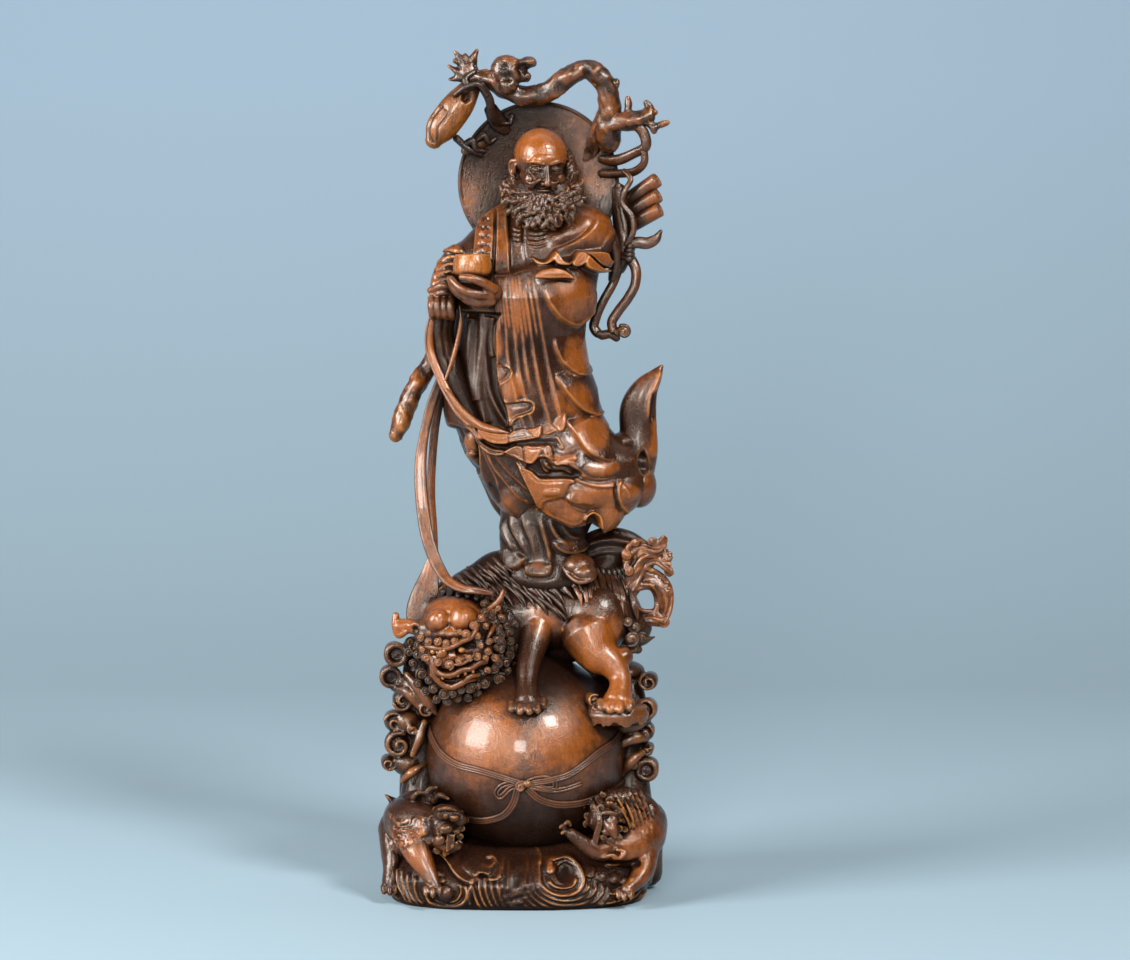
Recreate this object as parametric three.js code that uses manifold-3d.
// A bearded monk in a long robe, carved from one block of boxwood. He stands on a guardian lion, which
// stands on a tied ball above a base of waves with two cubs and banks of cloud. Behind his head are a round
// bamboo hat and a gnarled staff that carries a shoe and a bundle of scrolls.
// Millimetres, +Z up, front towards -Y, origin on the ground under the middle of the carving.
import * as THREE from 'three';
import { mergeVertices } from 'three/addons/utils/BufferGeometryUtils.js';
import Module from 'manifold-3d';

const wasm = await Module();
wasm.setup();

// Driving dimensions
const BASE = { x: -3, halfWidth: 48, halfDepth: 36, height: 17 };
const BALL = { x: 0, z: 50, radius: 36.5 };
const HAT = { x: 4.5, y: 9.5, z: 253, radius: 28.7, rim: 1.6, crown: 5 };
const HEAD = { x: 5.5, y: -7, z: 257.5, radius: 9.4 };
const BOWL = { x: -18.2, y: -21, z: 219.5, radius: 6.6, height: 8.4, wall: 1.5 };
const STAFF_RADIUS = 3.4;
const RIBBON = { halfWidth: 2.6, halfThickness: 1.1 };
const SEAM_TOLERANCE = 0.45;

// A closed three.js geometry as a solid that can be joined and cut
function solidOf(geometry) {
  const bare = new THREE.BufferGeometry();
  bare.setAttribute('position', geometry.getAttribute('position'));
  bare.setIndex(geometry.getIndex());
  const merged = mergeVertices(bare, 1e-4);
  return new wasm.Manifold(new wasm.Mesh({
    numProp: 3,
    vertProperties: new Float32Array(merged.getAttribute('position').array),
    triVerts: new Uint32Array(merged.getIndex().array),
  }));
}

// Joins solids, two at a time, so that each join stays small
function join(solids) {
  if (solids.length === 1) return solids[0];
  const half = Math.ceil(solids.length / 2);
  return join(solids.slice(0, half)).add(join(solids.slice(half)));
}

// Moves each vertex of a geometry to where place(point) puts it
function reshape(geometry, place) {
  const position = geometry.getAttribute('position');
  const point = new THREE.Vector3();
  for (let i = 0; i < position.count; i += 1) {
    point.fromBufferAttribute(position, i);
    place(point);
    position.setXYZ(i, point.x, point.y, point.z);
  }
  return geometry;
}

// The world axis that a run of points follows least, which keeps a limb from twisting
function quietAxis(points) {
  const run = points.at(-1).clone().sub(points[0]);
  const reach = [Math.abs(run.x), Math.abs(run.y), Math.abs(run.z)];
  const least = reach.indexOf(Math.min(...reach));
  return new THREE.Vector3().setComponent(least, 1);
}

// A tapering limb, ribbon or lock of hair through rounds of [x, y, z, half-width, half-thickness].
// The half-width runs along the direction across, as far as the limb's own direction lets it.
function limb(rounds, { sides = 6, steps = rounds.length, across = null } = {}) {
  const points = rounds.map(([x, y, z]) => new THREE.Vector3(x, y, z));
  const sizes = rounds.map(([, , , wide, thick = wide]) => [wide, thick]);
  const path = new THREE.CatmullRomCurve3(points, false, 'centripetal');
  const wanted = across ? new THREE.Vector3(...across) : quietAxis(points);
  return solidOf(reshape(new THREE.CylinderGeometry(1, 1, 1, sides, steps), (p) => {
    const t = p.y + 0.5;
    const at = t * (rounds.length - 1);
    const low = Math.min(Math.floor(at), rounds.length - 2);
    const wide = THREE.MathUtils.lerp(sizes[low][0], sizes[low + 1][0], at - low);
    const thick = THREE.MathUtils.lerp(sizes[low][1], sizes[low + 1][1], at - low);
    const along = path.getTangent(t);
    const side = wanted.clone().addScaledVector(along, -wanted.dot(along)).normalize();
    const out = side.clone().cross(along);
    const [sideways, outwards] = [p.x * wide, p.z * thick];
    p.copy(path.getPoint(t)).addScaledVector(side, sideways).addScaledVector(out, outwards);
  }));
}

// An ellipsoid, turned about X, Y and Z by degrees
function lump(x, y, z, rx, ry, rz, { sides = 7, rings = 4, turn = [0, 0, 0] } = {}) {
  const geometry = new THREE.SphereGeometry(1, sides, rings).scale(rx, ry, rz);
  const [a, b, c] = turn.map(THREE.MathUtils.degToRad);
  return solidOf(geometry.rotateX(a).rotateY(b).rotateZ(c).translate(x, y, z));
}

// A curl of hair, cloud or water: a tapering coil that faces the way given by turn
function curl(x, y, z, radius, { turns = 1.25, start = 0, hand = 1, tilt = 0, thick = 0.36 } = {}) {
  const count = 6;
  const rounds = Array.from({ length: count }, (_, i) => {
    const share = i / (count - 1);
    const angle = start + hand * share * turns * 2 * Math.PI;
    const reach = radius * (1 - 0.78 * share);
    const depth = -radius * 0.35 * share;
    const size = radius * thick * (1 - 0.35 * share);
    return [
      x + reach * Math.cos(angle) * Math.cos(tilt) + depth * Math.sin(tilt),
      y + depth * Math.cos(tilt) - reach * Math.cos(angle) * Math.sin(tilt),
      z + reach * Math.sin(angle),
      size,
    ];
  });
  return limb(rounds, { sides: 4, steps: 6, across: [0, 1, 0] });
}

// A loft through level sections of [z, left x, right x, front y, back y], pushed out by folds
function robeLoft(sections, { sides = 20, steps = 14, fold = () => 0, hem = () => 0 } = {}) {
  const paths = [1, 2, 3, 4].map((column) => new THREE.CatmullRomCurve3(
    sections.map((s) => new THREE.Vector3(s[column], 0, s[0])),
    false,
    'centripetal',
  ));
  return solidOf(reshape(new THREE.CylinderGeometry(1, 1, 1, sides, steps), (p) => {
    const t = p.y + 0.5;
    const [left, right, front, back] = paths.map((path) => path.getPoint(t).x);
    const z = paths[0].getPoint(t).z;
    const angle = Math.atan2(-p.z, p.x);
    const reach = Math.hypot(p.x, p.z) * (1 + fold(angle, t));
    const bottom = Math.max(0, 1 - t * 7);
    const x = (left + right) / 2 + (reach * (right - left) / 2) * Math.cos(angle);
    const y = (front + back) / 2 + (reach * (back - front) / 2) * Math.sin(angle);
    p.set(x, y, z + bottom * hem(angle) * Math.hypot(p.x, p.z));
  }));
}

// The wave base: a block with a rippled wall, the rolling surf lines on its front and its breaking crests
function waveBase() {
  const block = solidOf(reshape(new THREE.CylinderGeometry(1, 1, 1, 26, 2), (p) => {
    const share = p.y + 0.5;
    const angle = Math.atan2(-p.z, p.x);
    const square = 1 / Math.cbrt(Math.abs(Math.cos(angle)) ** 3 + Math.abs(Math.sin(angle)) ** 3);
    const ripple = 1 + 0.02 * Math.cos(11 * angle) * (1 - share);
    const wall = Math.hypot(p.x, p.z) * square * ripple * (0.955 + 0.045 * Math.sin(Math.PI * share));
    p.set(
      BASE.x + BASE.halfWidth * wall * Math.cos(angle),
      BASE.halfDepth * wall * Math.sin(angle),
      BASE.height * share,
    );
  }));
  const surf = [11, 18].map((radius, i) => {
    const [from, to] = [Math.PI * (0.8 + 0.05 * i), Math.PI * (2.1 - 0.06 * i)];
    const rounds = Array.from({ length: 6 }, (_, k) => {
      const angle = from + ((to - from) * k) / 5;
      const x = 13 + radius * Math.cos(angle);
      const z = Math.max(11.5 + radius * 0.6 * Math.sin(angle), 2.2);
      return [x, -34.2 + 0.004 * (x - 5) ** 2 + Math.max(0, z - 12) * 0.4, z, 2];
    });
    return limb(rounds, { sides: 4, steps: 5, across: [0, 1, 0] });
  });
  const shore = [-18, -41].map((x) => limb(
    [[x + 5, -28, 15, 2], [x + 1.5, -33.5, 9, 2.2], [x, -32.8 + 0.004 * (x + 3) ** 2, 2.6, 2]],
    { sides: 4, steps: 2 },
  ));
  const crests = [
    lump(13, -33.6, 12, 4.6, 2.4, 4, { sides: 6 }),
    lump(-28, -33, 6.4, 5.4, 2.8, 4.4, { sides: 6 }),
    lump(-28, 26, 15, 10, 8, 7, { sides: 6 }),
    lump(2, 27, 16, 13, 8, 9, { sides: 6 }),
    lump(29, 25, 15, 10, 7, 7, { sides: 6 }),
  ];
  return [block, ...surf, ...shore, ...crests];
}

// The ball, with the ribbons that tie it crossing under a bow
function tiedBall() {
  const ball = lump(BALL.x, 0, BALL.z, BALL.radius, BALL.radius, BALL.radius, { sides: 18, rings: 12 });
  const onBall = (x, z, raise = 0.2) => {
    const reach = BALL.radius + raise;
    return [x, -Math.sqrt(Math.max(reach ** 2 - x ** 2 - (z - BALL.z) ** 2, 4)), z];
  };
  const band = (places, wide = 2.2) => limb(
    places.map(([x, z]) => [...onBall(x, z), wide, 1.4]),
    { sides: 4, steps: 3, across: [0.1, 0, 1] },
  );
  return [
    ball,
    band([[-1, 46.5], [-12, 49], [-24, 52], [-33, 58]]),
    band([[-1, 46.5], [12, 47], [20, 51], [28, 60]]),
    band([[0, 45], [8, 40], [17, 38], [27, 39]]),
    band([[-1, 45], [-4, 38], [-10, 33], [-19, 31.5]]),
    lump(...onBall(5.6, 45.6), 4.4, 1.7, 2.4, { sides: 6, rings: 3, turn: [0, 0, 8] }),
    lump(...onBall(-5.6, 43.6), 4.4, 1.7, 2.4, { sides: 6, rings: 3, turn: [0, -25, -8] }),
  ];
}

// The banks of cloud that rise from the base on both sides of the ball, and the cloud under the hind paw
function cloudBanks() {
  const puff = (rounds, sides = 5) => limb(rounds, { sides, steps: rounds.length - 1 });
  const left = [
    puff([[-37, 2, 10, 9], [-38, 3, 30, 8], [-38, 3, 52, 7], [-36, 2, 70, 7.5], [-36, 0, 86, 6]], 7),
    puff([[-38, 0, 82, 4], [-46, -1, 87.6, 4.4], [-50, -2, 84.5, 3.2]]),
    puff([[-38, 0, 76, 4.5], [-44, -2, 80, 4.6], [-50, -3, 77.6, 3.6]]),
    puff([[-35, 0, 64, 5], [-41, -5, 70.4, 5], [-47, -6, 69, 3.4]]),
    puff([[-33, -3, 74, 5], [-33, -12, 71, 4.6], [-33.6, -15.5, 67, 2.8]]),
    curl(-44.5, -6, 60.5, 4.6, { start: 0.4, turns: 1, hand: -1, thick: 0.5 }),
    curl(-44, -5, 51.6, 5.4, { start: 1.5, turns: 1.1, thick: 0.45 }),
    puff([[-38, 0, 42, 6], [-44, -2, 47, 3.4], [-50.4, -2, 46, 2.2]]),
    puff([[-37, -8, 46, 4], [-41, -12, 43, 3.6], [-44, -13, 39, 2.4]]),
  ];
  const right = [
    puff([[36, 3, 10, 9], [38, 4, 30, 7.5], [37, 4, 52, 7], [36, 3, 70, 7], [35, 3, 80, 5]], 7),
    puff([[36, 2, 73, 4.5], [41, 1, 78.6, 4.8], [46, 0, 75, 3.2]]),
    curl(41.5, -4, 65.5, 5, { start: 2.4, turns: 1.1, hand: -1, thick: 0.45 }),
    puff([[35, 0, 55, 4.5], [39, -3, 60, 4], [44.5, -3, 57, 3]]),
    puff([[34, 0, 36, 6], [39, -3, 43, 4.8], [45, -4, 44.5, 3.8]]),
  ];
  const step = [
    lump(32, -19, 66.5, 12, 10, 4.6, { sides: 9, rings: 4 }),
    puff([[21, -23, 67, 2.6], [24, -27, 73, 2.6], [28, -25, 72.6, 1.8]]),
    puff([[22, -25, 64.6, 2.2], [32, -28, 62, 2.6], [41, -23, 63, 2.2]]),
  ];
  const rear = [-20, 12].map((x, i) => puff(
    [[x, 26, 12, 9], [x - 3, 31, 28 + 8 * i, 6], [x + 3, 33, 36 + 10 * i, 3.6], [x + 7, 31, 33 + 8 * i, 2.2]],
  ));
  return [...left, ...right, ...step, ...rear];
}

// The cub that crouches on the left of the base and looks to the right
function leftCub() {
  return [
    limb([[-47, -6, 24, 5.6], [-43, -11, 26, 7.8], [-36, -18, 24.6, 7], [-30, -22, 23, 6]],
      { sides: 7, steps: 4 }),
    limb([[-47, -9, 22, 5], [-49, -12, 14, 3.6], [-48.4, -14, 6, 3.8]], { sides: 5 }),
    limb([[-38, -20, 21, 4.6], [-36, -26, 14, 3.2], [-31.4, -30, 8, 3]], { sides: 5 }),
    lump(-48.4, -16, 6, 4.6, 4.4, 3),
    lump(-28.5, -25, 28, 6.8, 6, 8.6),
    lump(-24, -27, 27, 4.8, 4.8, 5.4, { sides: 6 }),
    limb([[-31, -23, 32, 3.2], [-27, -26, 37, 2.4], [-22.5, -27, 36.6, 1.4]], { sides: 4 }),
    limb([[-44, -7, 30, 4.4], [-48, -6, 35.5, 3.2], [-51.4, -6, 37.4, 1]], { sides: 4 }),
    limb([[-38, -15, 30, 4], [-38, -14, 37, 3.2], [-34, -17, 38.6, 1.8]], { sides: 5 }),
    limb([[-30, -22, 20, 3], [-22, -27, 13, 2.4], [-14, -30, 10.6, 2], [-8.5, -31, 11.4, 1]], { sides: 4 }),
  ];
}

// The cub on the right, which lifts a paw and looks back at the other one
function rightCub() {
  return [
    limb([[43, -4, 22, 5.6], [40, -11, 23, 8], [33, -18, 21.6, 8], [26, -21, 22, 6]], { sides: 7, steps: 4 }),
    limb([[27, -22, 23, 4.6], [20, -27, 20.5, 3.4], [14.4, -29, 28, 3]], { sides: 5 }),
    limb([[40, -14, 18, 5], [40, -22, 12, 3.8], [35.6, -27, 6.4, 3.6]], { sides: 5 }),
    lump(29, -24, 31.4, 6.6, 5.8, 6.8),
    lump(28.6, -28.6, 29, 4, 3.8, 3.8, { sides: 6 }),
    limb([[27, -22, 35, 3.2], [26, -22, 39.4, 2.2], [31, -21, 41, 1.2]], { sides: 4 }),
    limb([[32, -21, 34, 3.4], [36, -20, 31, 2.8], [40, -16, 25, 2]], { sides: 4 }),
    limb([[42, -2, 26, 4.4], [44, -3, 18, 4], [43.5, -8, 11, 3.4]], { sides: 5 }),
  ];
}

// The guardian lion: body, four legs, the head with its ruff of curls, the shaggy back and the tail
function lion() {
  const body = [
    limb([[-13, -3, 94, 9], [-6, -2, 98, 13], [6, 0, 101, 13.4], [19, 1, 101.5, 13],
      [30, 1, 100, 13.4], [37, 2, 97, 8]], { sides: 10, steps: 5 }),
    lump(7, -8, 99, 8.5, 7.5, 12.5),
    lump(25.5, -8, 97.5, 11.5, 9.5, 13.5, { sides: 8, rings: 5, turn: [0, 20, 0] }),
    lump(26, 9, 96, 11, 8, 13),
    lump(-15, -6, 95, 13, 13, 15, { sides: 8, rings: 5 }),
    lump(-6, -5, 86, 9, 10, 7),
    limb([[-21, -1, 108, 6], [-7, 1, 119, 7]], { sides: 6, steps: 1 }),
    limb([[20, 3, 122, 6.6], [43, 2, 123, 6.2]], { sides: 6, steps: 1 }),
  ];
  const legs = [
    limb([[4, -11, 97, 7], [2, -17, 88, 4.8], [1, -24, 80, 4], [0.8, -28, 73, 4.2]], { sides: 6, steps: 3 }),
    limb([[27, -11, 91, 9], [31.5, -16, 84, 5.6], [32.5, -18.5, 79, 4.2], [33, -20, 71, 4.4]], { steps: 3 }),
    limb([[-6, 8, 92, 7], [-7, 15, 84, 4.4], [-7, 17, 78, 4.6]], { sides: 5, steps: 2 }),
    limb([[28, 10, 90, 8], [31, 15, 80, 5], [31, 16, 67, 4.6]], { sides: 5, steps: 2 }),
    lump(0.8, -30, 71.4, 6, 4.6, 3.4),
    lump(32.4, -24.4, 71, 5.8, 5, 3.6),
  ];
  const head = [
    lump(-26, -19, 94, 11, 11, 13, { sides: 8, rings: 6 }),
    lump(-26.5, -24, 101.5, 9, 7.6, 7.4),
    lump(-26.5, -29.5, 89.4, 8.6, 5.4, 4.6),
    lump(-26.5, -26.4, 83, 9, 6.6, 3.4),
    lump(-28, -34, 92, 3, 2.2, 2.6, { sides: 5, rings: 3 }),
    limb([[-34, -27, 95, 1.8], [-27, -32, 93.4, 2.4], [-15, -25, 101, 1.8]], { sides: 4 }),
    limb([[-34, -15, 96, 3.4], [-41, -15, 98.4, 3], [-46, -15, 97, 3.2]], { sides: 5, steps: 2 }),
    limb([[-19, -20, 98, 3.4], [-13, -20, 104, 2.6], [-8, -18, 109.4, 0.8]], { sides: 4, steps: 2 }),
  ];
  const ruff = Array.from({ length: 11 }, (_, i) => {
    const angle = Math.PI * (1.02 + (1.24 * i) / 10);
    const x = -22.5 + 18.4 * Math.cos(angle);
    const z = 91.5 + 16 * Math.sin(angle);
    return lump(x, -15.5 + 0.16 * (x + 22), z, 4.6, 4.4, 4.6, { sides: 6, rings: 3 });
  });
  const shag = Array.from({ length: 5 }, (_, i) => {
    const x = -7 + 9.6 * i;
    return limb([[x - 4, -1, 114, 4, 2.6], [x, -8.4, 111, 3.4, 2], [x + 3, -12.8, 105 - 0.5 * i, 0.8]],
      { sides: 4, steps: 2 });
  });
  const tail = [
    limb([[31, 3, 104, 5], [37, 2, 110, 6.6, 5], [43, 1, 117, 7, 4.4], [48, 0, 123, 4.6, 3],
      [50.4, 0, 126.6, 1.6]],
      { sides: 6, steps: 4, across: [0.8, 0, -0.6] }),
    limb([[39, 2, 112, 5], [47, 1, 110.6, 4.6, 3.4], [50.4, 1, 104.6, 3.2], [48.6, 1, 98, 3.2],
      [43, 1, 94.6, 3]],
      { sides: 5, steps: 5, across: [0, 1, 0] }),
    limb([[33, 3, 104, 5], [37.6, 3, 98, 4.6], [43, 2, 95.2, 3.6], [49, 1, 95.4, 3.4]],
      { sides: 5, steps: 3, across: [0, 1, 0] }),
    lump(48.4, -1, 119, 4, 3, 4, { sides: 6 }),
    lump(49, -1, 110.4, 4, 3, 3.8, { sides: 6 }),
    limb([[34, -2, 99, 4], [38, -4, 93, 3.4], [41.6, -5, 92, 1.4]], { sides: 4 }),
  ];
  return [...body, ...legs, ...head, ...ruff, ...shag, ...tail];
}

// The robe: a long swaying body, the under-robe that shows below it and the foot
function robe() {
  const outer = robeLoft([
    [131.5, 0, 30, -12, 12], [136, -7, 37, -15, 14], [143, -13, 42, -17, 15.5], [150, -18, 43, -18, 16],
    [157, -23, 41, -18.5, 16], [163, -25.5, 32, -18, 15.5], [170, -27.5, 27.5, -17, 15],
    [180, -28.5, 24.8, -16.5, 14], [191, -28, 21.8, -16, 13.5], [201, -27, 20.6, -16, 13],
    [211, -26, 22, -16.5, 13], [220, -26, 25, -16, 12.5], [228, -25.5, 29.5, -14, 12],
    [235, -19.5, 30.5, -11.5, 11], [241, -14, 28, -9, 10], [246, -7, 20, -6.5, 8.5], [249.5, 1, 11, -4, 6],
  ], {
    sides: 18,
    steps: 14,
    fold: (angle, t) => 0.03 * Math.cos(6 * angle + 4 * t) * (1 - t),
    hem: (angle) => 3 * Math.cos(5 * angle + 1) + 2.5 * Math.cos(angle),
  });
  const under = robeLoft([
    [110, -2, 21, -10, 8], [115, -7, 23, -11.5, 9], [121, -9.5, 22.5, -11, 9.5], [130, -9.5, 21, -10.5, 10],
    [141, -7, 22, -9, 9],
  ], { sides: 16, steps: 3, fold: (angle, t) => 0.07 * Math.cos(8 * angle) * (1 - t) });
  const foot = [
    limb([[17, -8, 120, 4.4], [19.5, -12.6, 116, 4.6, 3.6], [21.8, -16, 112.6, 3.4, 2.2]], { steps: 2 }),
    limb([[1, -10, 121, 4, 2.4], [5.6, -13.8, 113.4, 4.6, 1.6]], { sides: 4, steps: 1, across: [1, 0, 0] }),
  ];
  return [outer, under, ...foot];
}

// Folds that stand out on the robe: the pleats under the forearm, the swags down the wind side and the hems
function folds() {
  const frontAt = (x, z) => {
    const middle = THREE.MathUtils.clamp((z - 131) * 0.55, -4, 8);
    return -16 + 0.011 * (x - 8 + middle) ** 2;
  };
  const onRobe = (places, wide, thick, across, steps) => limb(
    places.map(([x, z]) => [x, frontAt(x, z), z, wide, thick]),
    { sides: 4, steps, across },
  );
  const pleats = [-7, -3, 1].map((x, i) => onRobe(
    [[x, 218], [x + 0.8, 203], [x + 3 + 1.5 * i, 188], [x + 6 + 2.4 * i, 171]], 1.8, 2.2, [1, 0, 0], 3,
  ));
  const swags = [
    [[6, 214], [11, 204.5], [17, 202.4], [22, 206]],
    [[9, 194], [13.5, 187.6], [17.5, 186], [21, 187.6]],
    [[11, 183], [16, 175.6], [22, 172], [26, 173]],
    [[15, 167], [20, 160.4], [27, 157], [35, 158]],
    [[-14, 156], [-9, 149], [-4, 143.6], [2, 141]],
    [[14, 154], [21, 149.4], [28, 147.4], [36, 149]],
  ].map((places) => onRobe(places, 2, 2.4, [0, 0, 1], 3));
  const cascade = [
    [[-8, 206], [-11, 198], [-10.6, 190], [-6, 187]],
    [[-6, 187], [-9, 181], [2, 175], [-6, 166]],
  ].map((places) => onRobe(places, 1.8, 2, [1, 0, 0.3], 4));
  const hems = [
    [[-24, 170], [-17, 164.6], [-6, 162.4], [6, 165.4], [13, 167.6]],
    [[-18, 161], [-9, 158.4], [4, 157], [17, 156]],
    [[5, 139], [10, 134.6], [18, 132.6], [28, 132], [33, 135]],
    [[-17, 148], [-12, 141], [-6, 136.4], [1, 137.6]],
  ].map((places) => onRobe(places, 2.6, 3, [0, 0, 1], places.length));
  const lobes = [
    limb([[33, -7, 158, 5, 5], [38, -8, 149, 7, 5.4], [39.5, -7, 142, 6, 4.6], [38.5, -6, 136.6, 2.6, 2.4]],
      { steps: 3, across: [1, 0, 0] }),
    limb([[26, -9, 144, 6, 5], [28, -11, 136, 5, 4], [28.4, -11, 130.4, 2.6, 2]],
      { steps: 2, across: [1, 0, 0] }),
    limb([[38, -2, 146, 6, 6], [40.5, 0, 156, 6.4, 6], [40.4, 1, 165, 6.6, 6], [40, 1, 174, 6.6, 5.6],
      [42, 1, 181, 5.4, 4.4], [46, 0, 186, 2.6, 2.4], [48.4, 0, 188.6, 0.8]],
      { steps: 6, across: [1, 0, 0] }),
  ];
  return [...pleats, ...swags, ...cascade, ...hems, ...lobes];
}

// The arms with their sleeves, the hands and the hanging sleeve and sash on the staff side
function arms() {
  return [
    lump(25, -3, 234, 7.6, 8, 7.6, { sides: 8, rings: 5 }),
    lump(13, -8, 234, 9.5, 5.6, 6),
    lump(16.4, -9, 212.6, 10, 8.6, 11, { sides: 8, rings: 6 }),
    limb([[29, -5, 226, 4.6], [18, -12, 225.6, 5], [6, -16.6, 222.6, 4.6], [-6, -20, 218.6, 4.2],
      [-13, -21, 216.4, 3.4]], { sides: 7, steps: 4 }),
    limb([[31, -5, 228, 2.2], [25, -12.6, 225.4, 2.2], [18.6, -15, 228, 2], [13, -17, 225.6, 2],
      [6, -17.6, 226, 1.4]], { sides: 4, steps: 4 }),
    limb([[-12, -21.4, 216, 3.8, 3], [-18, -22, 217.4, 5, 4], [-24.4, -20, 219.6, 2.6, 2.4]],
      { steps: 2, across: [0, 1, 0] }),
    limb([[-18, -1, 233, 7], [-25, -3, 226, 6.4], [-29, -6, 219, 5.6], [-29.4, -11, 212, 5]],
      { sides: 7, steps: 3 }),
    lump(-29, -13, 210, 5, 5, 5),
    limb([[-30, -11, 207, 5, 4.6], [-31, -8, 198, 4.8, 5], [-29, -8, 189, 5, 5.4], [-25, -9, 179, 4.6, 5],
      [-19, -10, 170, 3, 4]], { steps: 4, across: [1, 0, 0] }),
    limb([[-33.4, -11, 206, 1.6, 1.4], [-35.4, -10, 198, 1.6, 1.4], [-32.6, -11, 188, 1.7, 1.4],
      [-28, -13, 178, 1.8, 1.4], [-23.4, -15, 169.4, 2, 1.4]], { sides: 4, steps: 4, across: [1, 0, 0] }),
  ];
}

// The begging bowl on his hand, hollow, with a wall of its own thickness
function bowl() {
  const { radius, height, wall } = BOWL;
  const outline = [
    [0, 0], [radius * 0.62, 0.4], [radius, height * 0.42], [radius * 0.98, height * 0.7],
    [radius * 0.86, height],
    [radius * 0.86 - wall, height], [radius - wall, height * 0.62], [radius * 0.6, height * 0.38],
    [0, height * 0.34],
  ].map(([r, z]) => new THREE.Vector2(r, z));
  return solidOf(new THREE.LatheGeometry(outline, 12).rotateX(Math.PI / 2).translate(BOWL.x, BOWL.y, BOWL.z));
}

// The space inside the bowl, which keeps neighbours from filling it
function bowlHollow() {
  const { radius, height, wall } = BOWL;
  const outline = [
    [0, height * 0.34], [radius * 0.6, height * 0.38], [radius - wall, height * 0.62],
    [radius * 0.86 - wall, height], [radius * 0.86 - wall, height + 3], [0, height + 3],
  ].map(([r, z]) => new THREE.Vector2(r, z));
  return solidOf(new THREE.LatheGeometry(outline, 12).rotateX(Math.PI / 2).translate(BOWL.x, BOWL.y, BOWL.z));
}

// The head, bald above a full curly beard, with a large ear on each side
function head() {
  const { x, y, z, radius } = HEAD;
  const beard = Array.from({ length: 7 }, (_, i) => {
    const angle = Math.PI * (1.0 + i / 6);
    return lump(x + 1 + 11.8 * Math.cos(angle), y - 1.5, z - 6 + 10 * Math.sin(angle), 4.6, 4.8, 4.4,
      { sides: 5, rings: 3 });
  });
  return [
    lump(x, y, z + 2, radius, radius * 1.08, radius * 1.16, { sides: 9, rings: 6 }),
    lump(x + 1, y - 3.6, z - 6, 8.4, 7, 8.6),
    lump(x + 1, y - 1, z - 11, 10, 7, 7),
    lump(x + 0.3, y - 9, z - 0.6, 1.5, 2, 2.8, { sides: 5, rings: 3 }),
    lump(x - 9.4, y + 0.5, z - 1, 1.8, 2.6, 4.4, { sides: 5, rings: 3 }),
    lump(x + 9.6, y + 1, z + 0.4, 1.8, 2.6, 4.4, { sides: 5, rings: 3 }),
    limb([[x, y + 2, z - 4, 7], [x, y + 4, z - 14, 8]], { steps: 1 }),
    ...beard,
  ];
}

// The bamboo hat on his back: a shallow cone with a thin rim, its hollow side to the front
function hat() {
  const outline = [
    [0, -HAT.crown], [HAT.radius, -0.2], [HAT.radius + 0.4, HAT.rim / 2], [HAT.radius, HAT.rim],
    [0, HAT.rim - HAT.crown + 1],
  ].map(([r, h]) => new THREE.Vector2(r, h));
  return [
    solidOf(new THREE.LatheGeometry(outline, 24).rotateX(Math.PI).translate(HAT.x, HAT.y, HAT.z)),
    limb([[8, 5, 232, 10], [6, 7, 244, 9], [5, 9.6, 252, 6]], { steps: 2 }),
  ];
}

// The gnarled staff: its straight foot low on the left, the branch that arches over the hat, burl and twigs
function staff() {
  const r = STAFF_RADIUS;
  const twig = (rounds) => limb(rounds, { sides: 4, steps: 2 });
  return [
    limb([[-46, 5, 163.4, r * 0.8], [-41, 6, 177, r * 1.05], [-33, 8, 190, r], [-18, 13, 210, r * 0.9],
      [8, 15.6, 240, r * 0.85], [22, 12, 262, r], [29, 5, 276, r * 1.3]], { steps: 6 }),
    limb([[29, 5, 272, 4.8], [29.6, 2, 281, 4], [27.6, 0, 289, 3.8], [21, -1, 292.6, 3.5], [15, -1, 290, 4],
      [8, 0, 284.6, 3.8], [0, 1, 282.8, 3.6], [-7, 1, 286, 3.6], [-13, 0, 289, 3.2], [-19, -1, 288.4, 3]],
    { steps: 10 }),
    lump(-5.6, -1, 292, 6.8, 5.6, 5.8, { turn: [0, 10, 0] }),
    lump(0.6, -1, 295, 4, 3.4, 2.6, { sides: 5 }),
    limb([[29, 4, 274, 4.6], [34, 1, 274, 3.6], [39, 0, 275, 3.6], [43.4, 0, 276, 2.8]], { steps: 3 }),
    twig([[36, 0, 275, 1.8], [36, 0, 279, 1.3], [36.2, 0, 282.6, 0.9]]),
    twig([[42, 0, 276, 2.4], [43, 0, 279, 1.7], [42.6, 0, 281.4, 1]]),
    twig([[42, 0, 275, 2], [46, -1, 272.6, 1.5], [50, -1, 273.4, 0.6]]),
    twig([[-18, -1, 289, 3], [-23, -1, 290.6, 2], [-27, -1, 290.4, 0.8]]),
    twig([[-19, -1, 289, 2.8], [-21.4, -1, 294, 2.4], [-24.8, -1, 298.6, 0.9]]),
    twig([[-18.6, -1, 289, 2.6], [-18.6, -1, 295, 2], [-16.8, -1, 299.6, 0.9]]),
  ];
}

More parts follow.
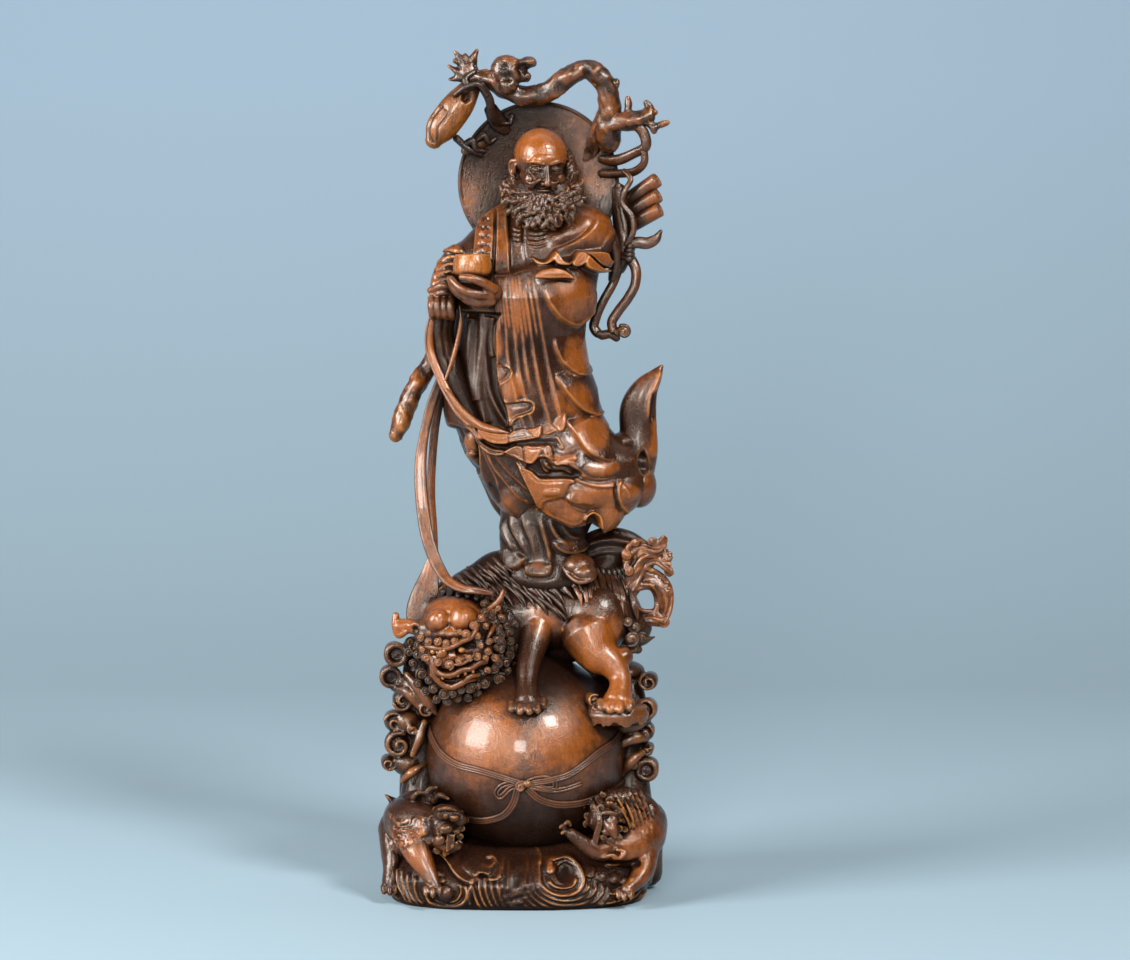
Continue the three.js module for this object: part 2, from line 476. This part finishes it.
// What the staff carries: the shoe on its knotted tie, the bundle of scrolls and the bow behind the shoulder
function load() {
  const shoe = limb(
    [[-17, -1, 286, 3.6, 3.2], [-22, -1, 280.6, 5.4, 4.6], [-27, -1, 274.6, 5.8, 4.8],
    [-31, -1, 269.6, 4.8, 4.2],
      [-33, -1, 266.8, 2.4, 2.4]],
    { sides: 8, steps: 4, across: [0.8, 0, -0.6] },
  );
  const tie = [
    limb([[-15, -1, 287, 2.4, 2], [-12.4, 1, 280, 2.6, 2], [-8.6, 6, 273, 2.6, 2.4]], { sides: 5, steps: 3 }),
    lump(-17, 7.6, 266, 5.6, 3.6, 2.8, { sides: 6, turn: [0, -25, 0] }),
  ];
  const scrolls = [254.4, 249, 244].map((z, i) => limb(
    [[33, 7, z - 10 + i, 3.2], [46.6 + 0.5 * i, 1, z - 0.4, 2.9]], { sides: 7, steps: 1 },
  ));
  const bow = [
    limb([[32, 6, 252, 2.6], [35.4, 4, 242, 3.6], [36, 3, 228, 3.4]], { sides: 5, steps: 3 }),
    limb([[35, 3, 230, 3.4], [41, 1, 231.6, 3, 2], [47, 0, 232.4, 2.6, 1.6]],
      { sides: 5, steps: 2, across: [0, 0, 1] }),
    limb([[28, 4, 233, 5], [32, 5, 225, 4.4], [30, 4, 218.6, 2.4]], { sides: 5, steps: 2 }),
    limb([[36, 3, 228, 2.8, 2], [39, 1, 220, 2.4, 1.6], [36.4, 1, 212.6, 2.3, 1.6],
      [31.6, 1, 205.6, 2.4, 1.8],
      [31, 1, 200.6, 2.8, 2.2], [35, 1, 199.4, 2.2, 2]], { sides: 5, steps: 6, across: [1, 0, -0.4] }),
    limb([[33, 4, 226, 2.6, 2], [29.6, 3, 214.6, 2, 1.6], [25, 3, 206.4, 2.2, 1.8], [24.4, 3, 201, 2.4, 2.2],
      [31, 1, 199.6, 2.4]], { sides: 5, steps: 5, across: [1, 0, -0.4] }),
    limb([[38, 0, 274, 2.4], [42.6, 0, 267.6, 2], [38, 4, 262.6, 2.2], [28, 7.4, 261, 2.4]],
      { sides: 5, steps: 4 }),
    limb([[42, 0, 266, 1.8], [41.8, 1, 259, 1.9], [37, 5, 256, 2.2], [27, 8, 256, 2.6]],
      { sides: 4, steps: 4 }),
  ];
  return [shoe, ...tie, ...scrolls, ...bow];
}

// The long ribbons that fall from his hand to the lion's brow and behind its head
function ribbons() {
  const { halfWidth, halfThickness } = RIBBON;
  const strip = (places) => limb(
    places.map(([x, y, z, wide = halfWidth]) => [x, y, z, wide, halfThickness]),
    { sides: 4, across: [1, 0, 0.2] },
  );
  return [
    strip([[-29.6, -6, 184, 2.2], [-33.6, -5, 174, 2], [-36.4, -5, 162, 1.6], [-36.9, -7, 149],
      [-36.4, -9, 137],
      [-34.6, -12, 126], [-30, -15, 117, 2.6], [-23, -18, 110.6, 2.4], [-16, -19, 107.4, 2]]),
    strip([[-28.6, -2, 182, 2], [-31.6, -1, 170, 1.6], [-32.8, 0, 156, 1.6], [-32.9, 0, 142, 1.6],
      [-32, -1, 128, 1.7], [-31.6, -2, 119, 2.4], [-34.6, -4, 109, 4.6], [-36.6, -7, 100, 6]]),
  ];
}

const joined = join([
  ...waveBase(), ...tiedBall(), ...cloudBanks(), ...leftCub(), ...rightCub(), ...lion(), ...robe(),
  ...folds(),
  ...arms(), bowl(), ...head(), ...hat(), ...staff(), ...load(), ...ribbons(),
]);
// The seams between the joined forms keep to SEAM_TOLERANCE, and the crumbs that the joins leave are dropped
const carving = joined.subtract(bowlHollow()).asOriginal().simplify(SEAM_TOLERANCE).decompose()
  .reduce((largest, body) => (body.volume() > largest.volume() ? body : largest));

// The joined solid as a geometry again
const { vertProperties, triVerts } = carving.getMesh();
const geometry = new THREE.BufferGeometry();
geometry.setAttribute('position', new THREE.BufferAttribute(vertProperties, 3));
geometry.setIndex(new THREE.BufferAttribute(triVerts, 1));
geometry.computeVertexNormals();

const boxwood = new THREE.MeshStandardMaterial({ color: 0x6b3418, roughness: 0.38, metalness: 0 });
const statue = new THREE.Mesh(geometry, boxwood);
statue.name = 'statue';

const group = new THREE.Group();
group.add(statue);
export default group;
